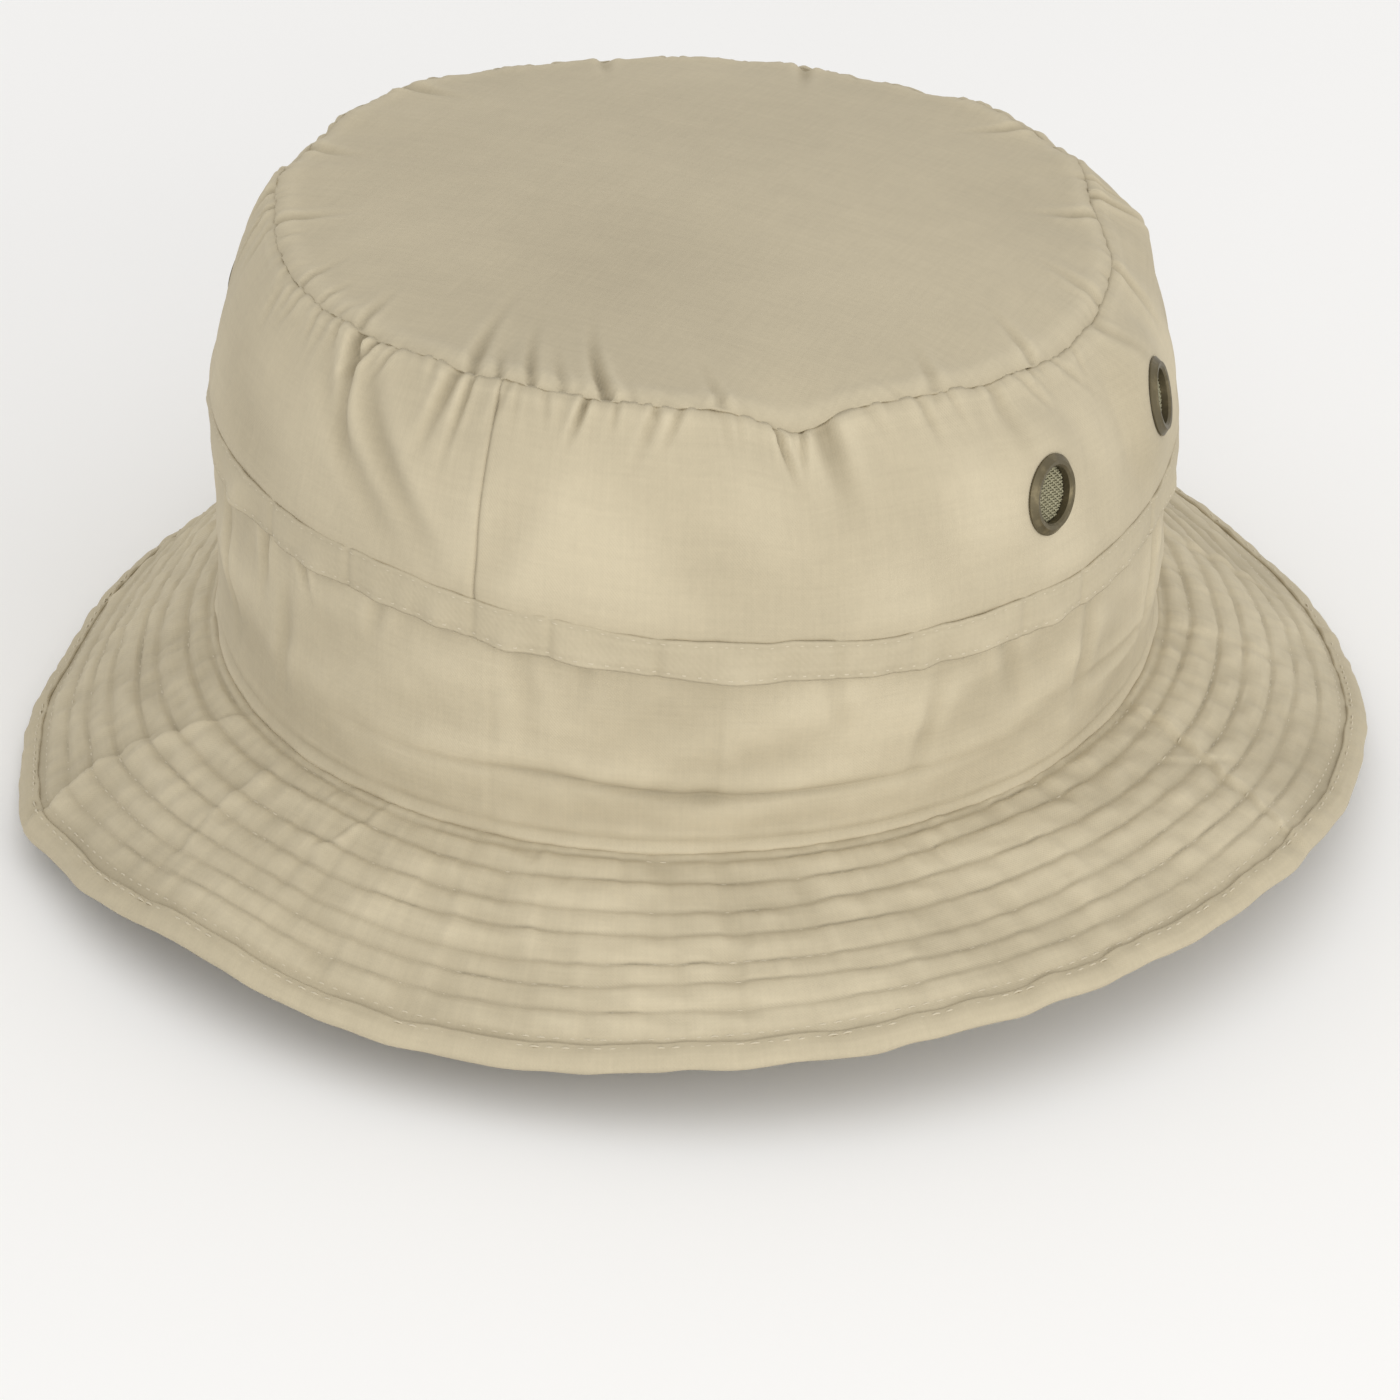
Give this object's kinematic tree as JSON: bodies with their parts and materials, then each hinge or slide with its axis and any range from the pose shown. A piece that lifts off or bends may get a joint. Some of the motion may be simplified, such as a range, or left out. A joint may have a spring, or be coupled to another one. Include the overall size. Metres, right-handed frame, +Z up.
{
  "type": "boonie hat",
  "caption": "Soft cotton sun hat with a flat oval top, gathered side wall, plain band, loop tape, screened vents and a stitched sloping brim.",
  "frame": {"origin": "centre of the brim's bounding rectangle, at the height of the table that the brim's edge rests on", "axes": "+Z up through the crown, -Y towards the front centre seam, +X towards the wearer's left"},
  "size_m": [0.254, 0.283, 0.1094],
  "materials": {
    "khaki_cloth": "plain-weave cotton, khaki, slightly creased",
    "khaki_tape": "folded cotton tape, khaki",
    "interlining": "stiff woven interlining, undyed",
    "sweatband_cloth": "twill sweatband, dark khaki",
    "antique_brass": "darkened brass, satin",
    "screen_wire": "fine woven wire, dull",
    "thread": "spun sewing thread, khaki"
  },
  "bodies": {
    "root": {"crown_tip": "khaki_cloth", "crown_side_left": "khaki_cloth", "crown_side_right": "khaki_cloth", "loop_tape": "khaki_tape", "hatband": "khaki_cloth", "brim_upper_ply": "khaki_cloth", "brim_interlining": "interlining", "brim_lower_ply": "khaki_cloth", "brim_binding": "khaki_cloth", "sweatband": "sweatband_cloth", "vent_eyelet_left_front": "antique_brass", "vent_washer_left_front": "antique_brass", "vent_screen_left_front": "screen_wire", "vent_eyelet_left_rear": "antique_brass", "vent_washer_left_rear": "antique_brass", "vent_screen_left_rear": "screen_wire", "vent_eyelet_right_front": "antique_brass", "vent_washer_right_front": "antique_brass", "vent_screen_right_front": "screen_wire", "vent_eyelet_right_rear": "antique_brass", "vent_washer_right_rear": "antique_brass", "vent_screen_right_rear": "screen_wire"}
  },
  "joints": []
}
